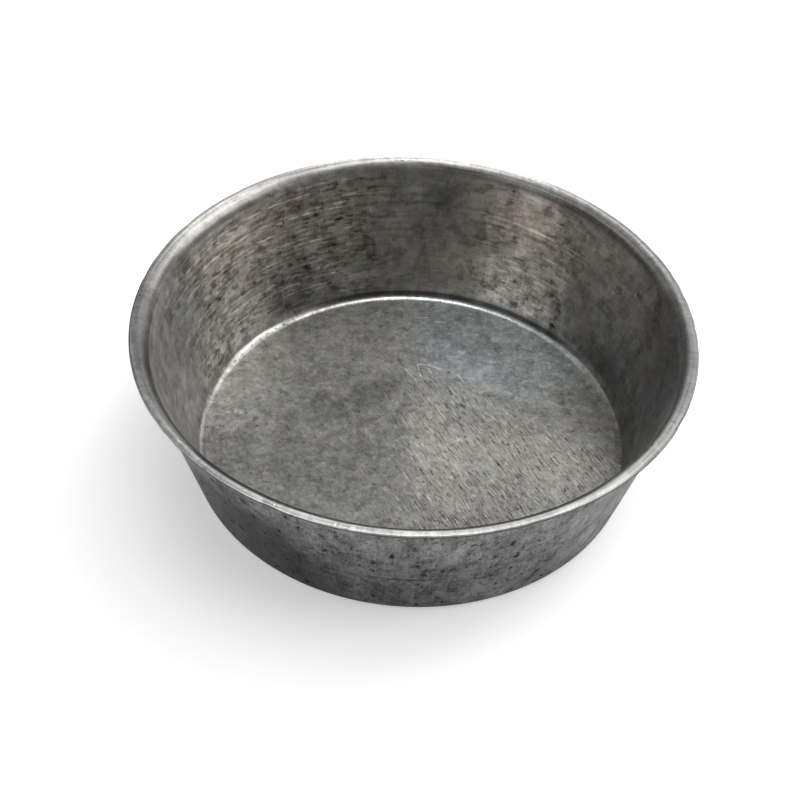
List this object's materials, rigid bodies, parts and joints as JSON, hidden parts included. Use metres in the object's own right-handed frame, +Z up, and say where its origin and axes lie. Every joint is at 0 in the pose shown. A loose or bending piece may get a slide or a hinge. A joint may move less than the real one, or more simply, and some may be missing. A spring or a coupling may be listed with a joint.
{
  "type": "pie dish",
  "caption": "Shallow round baking dish spun from one sheet of bare aluminium, with a flat base, a leaning wall and a narrow turned-out lip.",
  "frame": {"origin": "centre of the flat base, on the surface that the dish stands on", "axes": "+Z up, along the dish's axis of revolution"},
  "size_m": [0.1, 0.1, 0.03],
  "materials": {
    "sheet": "bare spun aluminium, dull grey and mottled, with fine turning lines, scratches and dark pits"
  },
  "bodies": {
    "root": {"dish": "sheet"}
  },
  "joints": []
}
